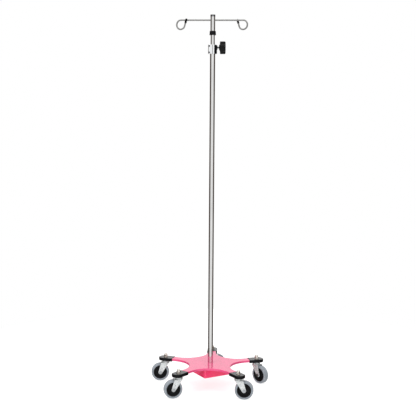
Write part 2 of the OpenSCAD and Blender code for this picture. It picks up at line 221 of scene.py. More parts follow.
def block(low, high):
    """A box between two corners, used only to cut with."""
    bm = bmesh.new()
    bmesh.ops.create_cube(bm, size=1)
    low, high = Vector(low), Vector(high)
    for v in bm.verts:
        v.co = Vector([(low[k] + high[k]) / 2 + v.co[k] * (high[k] - low[k]) for k in range(3)])
    return bm


def to_object(bm, name):
    bmesh.ops.recalc_face_normals(bm, faces=bm.faces[:])
    mesh = bpy.data.meshes.new(name)
    bm.to_mesh(mesh)
    bm.free()
    made = bpy.data.objects.new(name, mesh)
    scene.collection.objects.link(made)
    return made


def cut(bm, *cutters, bevel=0.0):
    """bm less the cutters, with its new sharp edges broken by a small bevel. Returns a new bmesh."""
    body = to_object(bm, "body")
    tools = [to_object(c, "cutter") for c in cutters]
    for tool in tools:
        modifier = body.modifiers.new("cut", "BOOLEAN")
        modifier.operation = "DIFFERENCE"
        modifier.solver = "EXACT"
        modifier.object = tool
    if bevel:
        modifier = body.modifiers.new("edges", "BEVEL")
        modifier.width = bevel
        modifier.segments = 2
        modifier.limit_method = "ANGLE"
        modifier.angle_limit = radians(50)
        modifier.use_clamp_overlap = True
    evaluated = body.evaluated_get(bpy.context.evaluated_depsgraph_get())
    result = bmesh.new()
    result.from_mesh(evaluated.to_mesh())
    evaluated.to_mesh_clear()
    for spent in [body, *tools]:
        bpy.data.objects.remove(spent)
    return result


def settle(made, body, nodes, place):
    """Puts a piece in its place and tells the frame what it rides on and stands for."""
    weighted = made.modifiers.new("flat faces stay flat", "WEIGHTED_NORMAL")
    weighted.keep_sharp = True
    in_metres = place.copy()
    in_metres.translation = place.translation * MM
    made.matrix_world = in_metres
    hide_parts(*nodes)
    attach(made, body)
    return made


def piece(name, bm, body, nodes, slot, place=Matrix(), sharp=35):
    """Makes a piece from a bmesh in millimetres. Edges over sharp degrees stay sharp."""
    made = to_object(bm, name)
    made.data.transform(Matrix.Scale(MM, 4))
    made.data.polygons.foreach_set("use_smooth", [True] * len(made.data.polygons))
    made.data.set_sharp_from_angle(angle=radians(sharp))
    made.data.materials.append(looks[slot])
    return settle(made, body, nodes, place)


def repeat(first, name, body, nodes, place):
    """Another of the same piece, sharing its mesh."""
    made = bpy.data.objects.new(name, first.data)
    scene.collection.objects.link(made)
    return settle(made, body, nodes, place)


# ---------------------------------------------------------------- materials


def set_stops(node, stops):
    """Gives a colour ramp its stops, each (position, colour)."""
    elements = node.color_ramp.elements
    for element, (position, colour) in zip(elements, (stops[0], stops[-1])):
        element.position = position
        element.color = (*colour, 1)
    for position, colour in stops[1:-1]:
        elements.new(position).color = (*colour, 1)


class Surface:
    """A procedural material: a Principled shader and the nodes that vary it."""

    def __init__(self, name, colour, roughness, metallic=0.0, **sockets):
        self.material = bpy.data.materials.new(name)
        self.material.use_nodes = True
        self.tree = self.material.node_tree
        self.shader = self.tree.nodes["Principled BSDF"]
        self.shader.inputs["Base Color"].default_value = (*colour, 1)
        self.shader.inputs["Roughness"].default_value = roughness
        self.shader.inputs["Metallic"].default_value = metallic
        for socket, value in sockets.items():
            self.shader.inputs[socket.replace("_", " ")].default_value = value
        self.colour = colour
        self.roughness = roughness
        self.coords = self.tree.nodes.new("ShaderNodeTexCoord").outputs["Object"]
        self.normal = None

    def link(self, a, b):
        self.tree.links.new(a, b)

    def texture(self, kind, scale, stretch=(1, 1, 1), **settings):
        """A texture's value, with its coordinates stretched along the axes."""
        mapping = self.tree.nodes.new("ShaderNodeMapping")
        mapping.inputs["Scale"].default_value = stretch
        self.link(self.coords, mapping.inputs["Vector"])
        node = self.tree.nodes.new(kind)
        node.inputs["Scale"].default_value = scale
        for socket, value in settings.items():
            if socket in node.inputs:
                node.inputs[socket].default_value = value
            else:
                setattr(node, socket, value)
        self.link(mapping.outputs["Vector"], node.inputs["Vector"])
        return node.outputs["Distance"] if "Distance" in node.outputs else node.outputs[0]

    def ramp(self, value, stops):
        node = self.tree.nodes.new("ShaderNodeValToRGB")
        set_stops(node, stops)
        self.link(value, node.inputs["Fac"])
        return node.outputs["Color"]

    def vary_colour(self, value, low, high, start=0.35, end=0.65):
        """Base colour goes from low to high times the main colour."""
        shades = [(start, [c * low for c in self.colour]), (end, [min(1, c * high) for c in self.colour])]
        self.link(self.ramp(value, shades), self.shader.inputs["Base Color"])
        return self

    def vary_roughness(self, value, low, high, start=0.35, end=0.65):
        node = self.tree.nodes.new("ShaderNodeMapRange")
        node.inputs["From Min"].default_value = start
        node.inputs["From Max"].default_value = end
        node.inputs["To Min"].default_value = low
        node.inputs["To Max"].default_value = high
        self.link(value, node.inputs["Value"])
        self.link(node.outputs["Result"], self.shader.inputs["Roughness"])
        return self

    def gloss_when_grazed(self, weight, start=0.35, end=0.75):
        """Coat that shows only where the surface is seen edge on."""
        facing = self.tree.nodes.new("ShaderNodeLayerWeight").outputs["Facing"]
        node = self.tree.nodes.new("ShaderNodeMapRange")
        node.inputs["From Min"].default_value = start
        node.inputs["From Max"].default_value = end
        node.inputs["To Max"].default_value = weight
        self.link(facing, node.inputs["Value"])
        self.link(node.outputs["Result"], self.shader.inputs["Coat Weight"])
        return self

    def bump(self, value, strength, depth_mm):
        """Adds relief. Each call lies on the one before."""
        node = self.tree.nodes.new("ShaderNodeBump")
        node.inputs["Strength"].default_value = strength
        node.inputs["Distance"].default_value = depth_mm * MM
        self.link(value, node.inputs["Height"])
        if self.normal:
            self.link(self.normal, node.inputs["Normal"])
        self.normal = node.outputs["Normal"]
        self.link(self.normal, self.shader.inputs["Normal"])
        return self


NOISE = "ShaderNodeTexNoise"
VORONOI = "ShaderNodeTexVoronoi"
WAVE = "ShaderNodeTexWave"


def gloss_coat(name, colour):
    """Thick gloss powder coat: faint orange peel, small depth changes and fine dust marks."""
    s = Surface(name, colour, 0.34, Coat_Weight=1.0, Coat_Roughness=0.05, Coat_IOR=1.5)
    s.vary_colour(s.texture(NOISE, 35, Detail=5.0), 0.95, 1.05)
    s.vary_roughness(s.texture(NOISE, 420, Detail=3.0), 0.27, 0.42)
    s.bump(s.texture(NOISE, 520, Detail=2.0, Roughness=0.4), 0.10, 0.05)
    s.bump(s.texture(VORONOI, 90, Randomness=1.0), 0.03, 0.04)
    return s.material


def polished_steel(name, colour, roughness):
    """Drawn and polished tube: hairlines along the tube, handling marks and a soft haze."""
    s = Surface(name, colour, roughness, 1.0)
    hair = s.texture(NOISE, 1500, (1, 1, 0.01), Detail=4.0, Roughness=0.7)
    s.vary_colour(s.texture(NOISE, 24, (1, 1, 0.35), Detail=6.0), 0.93, 1.03)
    s.vary_roughness(hair, roughness * 0.6, roughness * 1.7, 0.3, 0.75)
    s.bump(hair, 0.015, 0.02)
    s.bump(s.texture(NOISE, 60, (1, 1, 0.2), Detail=2.0), 0.02, 0.05)
    return s.material


SEAM = 1.8
SEAM_FRONT_Y = -15.3  # the painted seam shade starts just behind the clamp's face
SEAM_BACK_Y = -10.0
# near-black colour painted into the seam as its shade
SEAM_PAINTED_SHADE = (0.03, 0.03, 0.03)


def chrome_with_seam_shade(name, colour, roughness):
    """Polished clamp with painted shade: in the plane x = 0 at the front, the inside of the seam is
    coloured near black.
    """
    s = Surface(name, colour, roughness, 1.0)
    place = s.tree.nodes.new("ShaderNodeSeparateXYZ")
    s.link(s.coords, place.inputs["Vector"])

    def math(operation, a, b):
        node = s.tree.nodes.new("ShaderNodeMath")
        node.operation = operation
        for socket, value in zip(node.inputs, (a, b)):
            if isinstance(value, float):
                socket.default_value = value
            else:
                s.link(value, socket)
        return node.outputs[0]

    middle_strip = math("COMPARE", place.outputs["X"], 0.0)
    middle_strip.node.inputs[2].default_value = SEAM / 2 * MM
    before_back = math("LESS_THAN", place.outputs["Y"], SEAM_BACK_Y * MM)
    past_front = math("GREATER_THAN", place.outputs["Y"], SEAM_FRONT_Y * MM)
    # painted shade: the strip inside the seam is coloured dark in place of the shade in its slot
    dark = math("MULTIPLY", middle_strip, math("MULTIPLY", before_back, past_front))
    s.link(s.ramp(dark, [(0.4, colour), (0.6, SEAM_PAINTED_SHADE)]), s.shader.inputs["Base Color"])
    s.vary_roughness(s.texture(NOISE, 220, Detail=5.0), roughness * 0.6, roughness * 1.8)
    s.bump(s.texture(NOISE, 900, (1, 1, 0.05), Detail=3.0), 0.03, 0.02)
    s.bump(s.texture(NOISE, 60, Detail=2.0), 0.03, 0.05)
    return s.material


def plated(name, colour, roughness, metallic, spangle=260, depth=0.05):
    """Zinc or nickel plate over pressed steel: uneven crystals, pits and dull patches."""
    s = Surface(name, colour, roughness, metallic)
    s.vary_colour(s.texture(VORONOI, spangle, Randomness=1.0), 0.74, 1.12, 0.1, 0.7)
    s.vary_roughness(s.texture(NOISE, 130, Detail=5.0), roughness * 0.6, roughness * 1.5)
    s.bump(s.texture(NOISE, 170, Detail=4.0, Roughness=0.6), 0.18, depth)
    s.bump(s.texture(VORONOI, 900, Randomness=1.0), 0.08, 0.02)
    return s.material


def satin_wire(name, colour, roughness, metallic):
    """Drawn wire under thin satin plate: even grey with short draw marks and faint fingerprints."""
    s = Surface(name, colour, roughness, metallic)
    s.vary_colour(s.texture(NOISE, 70, Detail=4.0), 0.93, 1.06)
    s.vary_roughness(s.texture(NOISE, 400, Detail=3.0), roughness * 0.85, roughness * 1.15)
    s.bump(s.texture(NOISE, 1200, Detail=3.0), 0.06, 0.01)
    return s.material


def machined(name, colour, roughness):
    """Turned or headed steel: fine tool rings and a few nicks."""
    s = Surface(name, colour, roughness, 1.0)
    s.vary_colour(s.texture(NOISE, 90, Detail=5.0), 0.85, 1.06)
    s.vary_roughness(s.texture(NOISE, 350, Detail=3.0), roughness * 0.7, roughness * 1.4)
    rings = s.texture(
        WAVE, 700, wave_type="RINGS", rings_direction="SPHERICAL", Distortion=1.5, Detail=2.0
    )
    s.bump(rings, 0.05, 0.03)
    s.bump(s.texture(NOISE, 240, Detail=6.0), 0.10, 0.04)
    return s.material


def moulding(name, colour, roughness, grain=700, sheen=0.0):
    """Injection moulded plastic: spark-eroded grain, flow shading and scuffs."""
    s = Surface(name, colour, roughness, Coat_Roughness=0.2, Specular_IOR_Level=0.12)
    if sheen:
        s.gloss_when_grazed(sheen)
    s.vary_colour(s.texture(NOISE, 45, Detail=5.0), 0.75, 1.35)
    scuffs = s.texture(NOISE, 160, Detail=6.0, Roughness=0.7)
    s.vary_roughness(scuffs, roughness * 0.75, min(1, roughness * 1.3))
    s.bump(s.texture(NOISE, grain, Detail=3.0, Roughness=0.6), 0.22, 0.06)
    s.bump(s.texture(NOISE, 70, Detail=2.0), 0.05, 0.1)
    return s.material


def rubber(name, colour):
    """Grey non-marking rubber: chalky bloom, dirt in the pores and faint mould rings."""
    s = Surface(name, colour, 0.62, Sheen_Weight=0.12, Sheen_Roughness=0.5)
    s.vary_colour(s.texture(NOISE, 55, Detail=7.0, Roughness=0.65), 0.84, 1.10)
    s.vary_roughness(s.texture(NOISE, 210, Detail=4.0), 0.5, 0.75)
    s.bump(s.texture(NOISE, 620, Detail=3.0), 0.18, 0.06)
    s.bump(s.texture(VORONOI, 140, Randomness=1.0), 0.08, 0.08)
    return s.material


def ringed_plastic(name, colour):
    """Wheel core: black plastic with turning rings round the axle, which is each piece's local Z."""
    s = Surface(name, colour, 0.42, Specular_IOR_Level=0.12)
    flat = (1, 1, 0)
    rings = s.texture(WAVE, 160, flat, wave_type="RINGS", rings_direction="Z", Distortion=0.4, Detail=2.0)
    s.vary_colour(s.texture(NOISE, 60, Detail=6.0), 0.7, 1.6)
    s.vary_roughness(s.texture(NOISE, 260, Detail=5.0), 0.32, 0.55)
    s.bump(rings, 0.35, 0.12)
    s.bump(s.texture(NOISE, 800, Detail=2.0), 0.15, 0.05)
    return s.material


looks = {
    "pink_gloss_coat": gloss_coat("pink gloss coat", (0.745, 0.06, 0.2)),
    # painted light: the ballast has the plate's pink paint, coloured brighter and redder to stand against
    # the shade it lies in under the plate
    "ballast_gloss_coat": gloss_coat("ballast gloss coat with painted light", (0.95, 0.04, 0.16)),
    "bolt_steel": machined("blackened bolt steel", (0.16, 0.165, 0.175), 0.38),
    "turned_steel": machined("turned steel", (0.52, 0.53, 0.55), 0.28),
    "polished_tube": polished_steel("polished stainless tube", (0.82, 0.81, 0.795), 0.08),
    "black_nylon": moulding("black nylon", (0.012, 0.012, 0.013), 0.5),
    "clamp_chrome": chrome_with_seam_shade("clamp chrome with painted seam shade", (0.93, 0.93, 0.93), 0.16),
    "black_moulding": moulding("black moulding", (0.005, 0.005, 0.006), 0.36, sheen=1.0),
    "brass_shoe": machined("brass", (0.72, 0.52, 0.20), 0.3),
    "knob_moulding": moulding("knob moulding", (0.007, 0.0075, 0.0075), 0.42, 900),
    "cap_steel": machined("cap steel", (0.24, 0.242, 0.25), 0.16),
    "hook_wire": satin_wire("satin hook wire", (0.27, 0.268, 0.26), 0.5, 0.3),
    "hook_sleeve": moulding("hook sleeve", (0.004, 0.004, 0.0045), 0.45),
    "zinc_plate": plated("zinc plate", (0.66, 0.68, 0.68), 0.34, 0.45),
    "nut_chrome": plated("nut plate", (0.80, 0.745, 0.68), 0.2, 0.85, 500, 0.02),
    "wheel_core_plastic": ringed_plastic("wheel core plastic", (0.006, 0.006, 0.0065)),
    "grey_tread": rubber("grey rubber", (0.25, 0.275, 0.305)),
}

slots = {row["node"]: row["material_slot"] for row in frame["record"]["subparts"]}


# ---------------------------------------------------------------- base

LEG_W = 36
LEG_PAST_STEM = 20
NOTCH_R = 97.5  # from the pole's axis to the curve between two legs
ARC_STEPS = 48
plate_low, plate_high = box("base_plate")
stem_at = {i: middle(f"stem_nut_{i}") for i in LEGS}
leg_turn = {i: heading(stem_at[i]) for i in LEGS}
caster_radius = hypot(stem_at[1].x, stem_at[1].y)


def star_outline():
    """Five straight legs joined by concave arcs, anticlockwise."""
    half_step = pi / len(LEGS)
    arc_centre = (NOTCH_R - LEG_W / 2) / (1 - sin(half_step))
    arc_r = arc_centre - NOTCH_R
    tip_centre = caster_radius + LEG_PAST_STEM - LEG_W / 2
    half_arc = pi / 2 - half_step
    points = []
    for i in LEGS:
        leg = radians(leg_turn[i])
        for t in range(-90, 91, 10):
            points.append(polar(tip_centre, leg) + polar(LEG_W / 2, leg + radians(t)))
        centre = polar(arc_centre, leg + half_step)
        for k in range(ARC_STEPS + 1):
            a = leg + half_step + pi + half_arc - 2 * half_arc * k / ARC_STEPS
            points.append(centre + polar(arc_r, a))
    return points


star = slab(star_outline(), plate_low.z, plate_high.z, 1.2, 1.6)
piece("star_plate", star, "root", ["base_plate"], "pink_gloss_coat")

BALLAST_W = 130
BALLAST_TURN = 257.5  # direction of one corner
BALLAST_CORNER_R = 5
BOLT_CIRCLE_R = 45
BOLT_POCKET_R = 7
FOOT_POCKET_R = 14
block_low, block_high = box("ballast_block")


def square_outline(side, corner_r, turn):
    half = side / 2
    corners = [(-half, -half), (half, -half), (half, half), (-half, half)]
    return [Matrix.Rotation(radians(turn), 2) @ p for p in fillet(corners, [corner_r] * 4, 8)]


def plug(radius, bottom, top, x=0, y=0):
    """A plain round cutter standing on Z."""
    profile = [(0, bottom), (radius, bottom), (radius, top), (0, top)]
    return lathe(profile, 48, False, Matrix.Translation((x, y, 0)))


def ballast_mesh():
    """The block, with a pocket for the foot bolt and one for each of its own four bolts."""
    below = block_low.z - 1
    pockets = [plug(FOOT_POCKET_R, below, block_low.z + 9)]
    for quarter in range(4):
        at = polar(BOLT_CIRCLE_R, radians(BALLAST_TURN + 90 * quarter))
        pockets.append(plug(BOLT_POCKET_R, below, block_low.z + 8.5, at.x, at.y))
    outline = square_outline(BALLAST_W, BALLAST_CORNER_R, BALLAST_TURN - 45)
    return cut(slab(outline, block_low.z, block_high.z, 2, 0.6), *pockets)


piece("ballast", ballast_mesh(), "root", ["ballast_block"], "ballast_gloss_coat")

BOOT_W = 45
BOOT_END_R = 0.56 * BOOT_W
PAD_R = 12.5
PAD_H = 0.3
boot_low, boot_high = box("boot_1")
boot_inner = boot_low.y  # leg 1 runs along +Y
boot_outer = boot_high.y


def boot_outline():
    """Flat at the inner end, parallel sides, and a shallow arc at the outer end."""
    end_x = boot_outer - BOOT_END_R
    side_x = end_x + sqrt(BOOT_END_R**2 - (BOOT_W / 2) ** 2)
    corners = [(boot_inner, -BOOT_W / 2), (side_x, -BOOT_W / 2)]
    corners += [Vector((end_x, 0)) + polar(BOOT_END_R, radians(t)) for t in range(-48, 49, 8)]
    corners += [(side_x, BOOT_W / 2), (boot_inner, BOOT_W / 2)]
    return fillet(corners, [2.5, 5] + [0] * (len(corners) - 4) + [5, 2.5])


def boot_mesh(i):
    """The cap of leg i, with a low pad round the nut."""
    top = boot_high.z - PAD_H
    bm = slab(boot_outline(), boot_low.z, top, 1.8, 3.2)
    pad = fillet([(0, 0), (PAD_R, 0), (PAD_R - 0.7, PAD_H), (0, PAD_H)], [0, 0, 0.2, 0], closed=False)
    at = Matrix.Translation((caster_radius, 0, top))
    lathe(pad, 64, False, at, bm)
    bm.transform(turned_z(leg_turn[i]))
    return bm


NUT_ACROSS = 15
WASHER_R = 9.2
WASHER_T = 1.2
DOME_R = 6.5
DOME_Z = 12
nut_low, nut_high = box("stem_nut_1")


def nut_mesh():
    """Domed cap nut on a flat washer."""
    top = nut_high.z - nut_low.z
    washer = [(4.9, 0), (WASHER_R, 0), (WASHER_R, WASHER_T), (4.9, WASHER_T)]
    bm = lathe(fillet(washer, [0, 0.3, 0.4, 0]), 64)
    rows = [(7.6, WASHER_T), (8.7, 1.8), (8.7, 9.6), (7.8, 10.7), (7.0, 11.1), (6.6, 11.3)]
    rows += [(DOME_R, 11.8)]
    for t in range(10, 90, 12):
        rows.append((DOME_R * cos(radians(t)), DOME_Z + (top - DOME_Z) * sin(radians(t))))
    rows.append((0.5, top))
    return hexagon(NUT_ACROSS, rows, bm=bm)


PIN_R = 5
FLANGE_R = 15
RACE_R = 17
stem_bottom = box("stem_1")[0].z
race_low, race_high = box("raceway_1")
flange_bottom = race_high.z + 0.3


def kingpin_mesh():
    """Flange under the boot, the pin below it, and the riveted end under the crown."""
    flange_top = boot_low.z + 0.2
    corners = [
        (0, stem_bottom),
        (PIN_R + 2, stem_bottom),
        (PIN_R + 2, stem_bottom + 1.3),
        (PIN_R, stem_bottom + 1.3),
        (PIN_R, flange_bottom),
        (FLANGE_R, flange_bottom),
        (FLANGE_R, flange_top),
        (0, flange_top),
    ]
    return lathe(fillet(corners, [0, 0.6, 0, 0, 0, 0.7, 0.5, 0], closed=False), 72, False)


def race_mesh():
    """Pressed race cup with a shut line round its middle."""
    low, high = race_low.z, race_high.z
    seam = low + 4.2
    corners = [(PIN_R + 0.1, low), (RACE_R - 3, low), (RACE_R, low + 3), (RACE_R, seam - 0.5)]
    corners += [(RACE_R - 0.7, seam), (RACE_R, seam + 0.5), (RACE_R, high), (PIN_R + 0.1, high)]
    return lathe(fillet(corners, [0, 1.2, 1, 0, 0, 0, 0.9, 0]), 72)


# ---------------------------------------------------------------- casters

FORK_T = 2.5
FORK_BEND_R = 3.2  # at the middle of the sheet
FORK_FOOT_R = 8.5
CROWN_BACK = -13
CROWN_FRONT = 21
CROWN_ROUND = 11  # half the width of the crown's round back
PANEL_DEPTH = 0.9
wheel_centre = {i: middle(f"tyre_{i}") for i in LEGS}
wheel_r = wheel_centre[1].z
trail_arm = wheel_centre[1] - stem_at[1]
trail = hypot(trail_arm.x, trail_arm.y)
crown_top = race_low.z
WHEEL_W = 24
WHEEL_GAP = 1.5
AXLE_R = 4
AXLE_ACROSS = 12  # flats of the bolt head and the nut
CORE_R = 30
fork_middle = WHEEL_W / 2 + WHEEL_GAP + FORK_T / 2


def tangent(point, centre, radius, side):
    """Where the tangent from a point touches a circle."""
    arm = point - centre
    a = atan2(arm.y, arm.x) + side * acos(radius / arm.length)
    return centre + polar(radius, a)


def leg_edges(z):
    """Back and front edge of a fork leg at height z."""
    foot = Vector((trail, wheel_r))
    edges = []
    for x, side in ((CROWN_BACK, 1), (CROWN_FRONT, -1)):
        top = Vector((x, crown_top - 1))
        touch = tangent(top, foot, FORK_FOOT_R, side)
        if z > touch.y:
            share = min(1, (z - touch.y) / (top.y - touch.y))
            edges.append(touch.x + share * (top.x - touch.x))
        else:
            chord = sqrt(max(0, FORK_FOOT_R**2 - (z - wheel_r) ** 2))
            edges.append(trail - side * chord)
    return edges


def soft_step(value, low, high):
    t = min(1, max(0, (value - low) / (high - low)))
    return t * t * (3 - 2 * t)


def fork_mesh():
    """Pressed fork: one bent sheet, down both sides of the wheel, with a shallow panel in each leg."""
    crown_z = crown_top - FORK_T / 2
    bend_z = crown_z - FORK_BEND_R
    heights = [wheel_r - FORK_FOOT_R * cos(radians(t)) for t in range(0, 120, 12)]
    first_straight = heights[-1]
    heights += [first_straight + (bend_z - first_straight) * k / 14 for k in range(1, 15)]
    half = [(-fork_middle, z, 180) for z in heights]
    bend_centre = Vector((-fork_middle + FORK_BEND_R, bend_z))
    for turn in range(165, 89, -15):
        half.append((*(bend_centre + polar(FORK_BEND_R, radians(turn))), turn))
    flat = -half[-1][0]
    half += [(-flat + flat * k / 4, crown_z, 90) for k in range(1, 5)]
    stations = half + [(-y, z, 180 - turn) for y, z, turn in half[-2::-1]]
    across = [k / 10 for k in range(11)]
    bm = bmesh.new()
    rings = []
    for y, z, turn in stations:
        out = Vector((0, cos(radians(turn)), sin(radians(turn))))
        back, front = leg_edges(z)
        if turn == 90 and abs(y) < CROWN_ROUND:
            back = -sqrt(RACE_R**2 - y**2)
        edge = min(0.7, (front - back) / 2)
        panel = soft_step(z, wheel_r + 9, wheel_r + 16) * (1 - soft_step(z, bend_z - 10, bend_z - 3))
        section = []
        for side in (1, -1):
            for share in across if side > 0 else across[::-1]:
                pressed = soft_step(share, 0.15, 0.35) * (1 - soft_step(share, 0.65, 0.85))
                dent = PANEL_DEPTH * panel * pressed
                x = back + edge + share * (front - back - 2 * edge)
                section.append((x, side * FORK_T / 2 - dent))
            end = front if side > 0 else back
            inward = -1 if side > 0 else 1
            for depth, lift in ((0.25, 0.75), (0, 0.3), (0, -0.3), (0.25, -0.75)):
                section.append((end + inward * edge * depth, side * lift * FORK_T / 2))
        rings.append([bm.verts.new(Vector((x, y, z)) + out * lift) for x, lift in section])
    return capped_skin(bm, rings)


def axle_mesh():
    """Hexagon bolt head, nut with the thread's end, and the plain shank between."""
    face = fork_middle + FORK_T / 2
    bm = lathe([(0, -face), (AXLE_R, -face), (AXLE_R, face), (0, face)], 32, False)
    foot = [(6.2, face), (6.9, face + 0.3)]
    head = foot + [(6.9, face + 2.8), (6.0, face + 3.3), (5.4, face + 3.5)]
    nut = foot + [(6.9, face + 3.6), (6.1, face + 4.2), (5.6, face + 4.3)]
    over = Matrix.Rotation(pi, 4, "X")
    hexagon(AXLE_ACROSS, head, bm=bm)
    hexagon(AXLE_ACROSS, nut, over, bm)
    lathe([(0, face + 4), (3.6, face + 4), (3.4, face + 4.5), (0, face + 4.5)], 32, False, over, bm)
    return bm


def mirrored(half):
    """A closed section from its lower half: (radius, offset) from the bore out to the rim."""
    return half + [(r, -offset) for r, offset in reversed(half)]


def core_mesh():
    """Hub, a web with two turned grooves, and the rim that the tyre sits on."""
    half = [(AXLE_R + 0.1, -12.9), (7.3, -12.9), (7.9, -12.4), (8.3, -7.6), (9.0, -6.5), (10.4, -6.0)]
    half += [(12.4, -6.0), (12.9, -6.7), (14.1, -6.7), (14.6, -6.0)]
    half += [(16.9, -6.0), (17.4, -6.7), (18.5, -6.7), (19.0, -6.0)]
    half += [(21.2, -6.2), (22.2, -7.2), (24.5, -10.2), (25.3, -10.9), (26.2, -11.1), (CORE_R, -11.1)]
    return lathe(mirrored(half), 96)


def tyre_mesh():
    """Tyre with a bead, one ring on each side, round shoulders and a moulding line round the tread."""
    shoulder = 4
    side = WHEEL_W / 2
    half = [(CORE_R, -11.0), (30.9, -11.1), (31.5, -11.8), (32.1, -side), (32.7, -side)]
    half += [(33.0, -11.6), (33.4, -11.6), (33.7, -side), (34.5, -side)]
    for t in range(0, 91, 10):
        a = radians(t)
        r = wheel_r - shoulder + (shoulder - 0.15) * sin(a)
        half.append((r, -side + shoulder - shoulder * cos(a)))
    half += [(wheel_r - 0.03, -4.0), (wheel_r, -1.2), (wheel_r, -0.35), (wheel_r - 0.2, -0.2)]
    return lathe(mirrored(half), 128)


def at_caster(i):
    arm = wheel_centre[i] - stem_at[i]
    return Matrix.Translation((stem_at[i].x, stem_at[i].y, 0)) @ turned_z(heading(arm))


def at_axle(i):
    return at_caster(i) @ Matrix.Translation((trail, 0, wheel_r)) @ ALONG_Y


def at_nut(i):
    """Each nut stops at a different turn."""
    return turned_z(leg_turn[i]) @ Matrix.Translation((caster_radius, 0, nut_low.z)) @ turned_z(23 * i)


for i in LEGS:
    piece(f"boot_{i}", boot_mesh(i), "root", [f"boot_{i}"], "black_moulding")

caster_parts = [
    ("cap_nut", nut_mesh, "stem_nut", "nut_chrome", "root", at_nut, 25),
    ("kingpin", kingpin_mesh, "stem", "turned_steel", "root", at_caster, 35),
    ("race_cup", race_mesh, "raceway", "zinc_plate", "caster", at_caster, 35),
    ("caster_fork", fork_mesh, "fork", "zinc_plate", "caster", at_caster, 40),
    ("axle_bolt", axle_mesh, "axle", "turned_steel", "caster", at_axle, 25),
    ("wheel_disc", core_mesh, "wheel_core", "wheel_core_plastic", "wheel", at_axle, 35),
    ("tread", tyre_mesh, "tyre", "grey_tread", "wheel", at_axle, 35),
]
for name, mesh, node, slot, body, place, sharp in caster_parts:
    first = None
    for i in LEGS:
        rides = body if body == "root" else f"{body}_{i}"
        if first is None:
            first = piece(f"{name}_{i}", mesh(), rides, [f"{node}_{i}"], slot, place(i), sharp)
        else:
            repeat(first, f"{name}_{i}", rides, [f"{node}_{i}"], place(i))

# ---------------------------------------------------------------- pole

OUTER_WALL = 1.5
INNER_WALL = 1.2


def tube(node, wall):
    """A tube with rounded lips, in the place of its CAD node."""
    low, high = box(node)
    r = round_r(node)
    corners = [(r - wall, low.z), (r, low.z), (r, high.z), (r - wall, high.z)]
    return lathe(fillet(corners, [0.2, 0.5, 0.5, 0.3]), 128)


piece("lower_tube", tube("outer_tube", OUTER_WALL), "root", ["outer_tube"], "polished_tube")
piece("upper_tube", tube("inner_tube", INNER_WALL), "upper_pole", ["inner_tube"], "polished_tube")
piece("head_sleeve", tube("head_tube", INNER_WALL), "upper_pole", ["head_tube"], "polished_tube")

CAP_R = 10.4
CAP_T = 2.5
CAP_SKIRT = 6
CAP_PLUG_R = 8.7
CAP_PLUG = 8


def cap_mesh():
    """Cap of the head tube: a plug inside it, a skirt outside it and a rounded top."""
    top = box("head_cap")[1].z
    rim = top - CAP_T
    skirt_r = round_r("head_tube") + 0.03
    corners = [(0, rim - CAP_PLUG), (CAP_PLUG_R, rim - CAP_PLUG), (CAP_PLUG_R, rim + 0.3)]
    corners += [(skirt_r, rim + 0.3), (skirt_r, rim - CAP_SKIRT)]
    corners += [(CAP_R, rim - CAP_SKIRT), (CAP_R, top), (0, top)]
    return lathe(fillet(corners, [0, 0.4, 0, 0, 0, 0.1, 1.2, 0], closed=False), 96, False)


piece("end_cap", cap_mesh(), "upper_pole", ["head_cap"], "cap_steel")

outer_r = round_r("outer_tube")
tube_r = round_r("inner_tube")


def collar_mesh():
    """Collar with a short straight foot and a slight taper above it."""
    low, high = box("collar")
    r = round_r("collar")
    bore = tube_r + 0.05
    foot = low.z + 4
    corners = [(bore, low.z), (r, low.z), (r, foot), (r - 0.35, foot + 0.6)]
    corners += [(r - 1.1, high.z), (bore, high.z)]
    return lathe(fillet(corners, [0.3, 1.0, 0.3, 0.3, 1.2, 0.3]), 96)


piece("tapered_collar", collar_mesh(), "upper_pole", ["collar"], "black_moulding")

# ---------------------------------------------------------------- clamp

SEAM_DEPTH = 3
CLAMP_CORNER_R = 4
CLAMP_EDGE_R = 1.5
BOSS_R = 9
SCREW_SINK = 5
SCREW_HOLE_R = 4
SCREW_HEAD_R = 3.5
SCREW_SOCKET_R = 1.75
band_low, band_high = box("clamp_band")
split_x = band_high.x
bush_top = box("guide_bush")[1].z
screw_low, screw_high = box("clamp_screws")
screw_x = (screw_low.x + screw_high.x) / 2
screw_heights = [screw_low.z + SCREW_HEAD_R, screw_high.z - SCREW_HEAD_R]


def clamp_bores():
    """Cutters for the lower tube up to the top of its bush, and for the upper tube."""
    return [plug(outer_r, band_low.z - 1, bush_top), plug(tube_r + 0.6, band_low.z, band_high.z + 1)]


def clamp_shell():
    """Chrome half of the clamp: a rounded block with a seam and two sunk screws in its front."""
    low, high = band_low, band_high
    corners = [(split_x, low.y), (split_x, high.y), (low.x, high.y), (low.x, low.y)]
    outline = fillet(corners, [2.4, 2.4, CLAMP_CORNER_R, CLAMP_CORNER_R])
    body = slab(outline, low.z, high.z, CLAMP_EDGE_R, CLAMP_EDGE_R)
    seam = block((-SEAM / 2, -30, low.z - 1), (SEAM / 2, low.y + SEAM_DEPTH, high.z + 1))
    hole = [(0, 0), (SCREW_HOLE_R, 0), (SCREW_HOLE_R, SCREW_SINK + 1), (0, SCREW_SINK + 1)]
    holes = []
    for z in screw_heights:
        at = Matrix.Translation((screw_x, low.y - 1, z)) @ ALONG_Y
        holes.append(lathe(hole, 40, False, at))
    return cut(body, *clamp_bores(), seam, *holes, bevel=0.25)


piece("clamp_shell", clamp_shell(), "root", ["clamp_band"], "clamp_chrome")

knob_low, knob_high = box("knob")
stud_z = middle("knob_stud").z
at_stud = Matrix.Translation((0, 0, stud_z)) @ ALONG_X


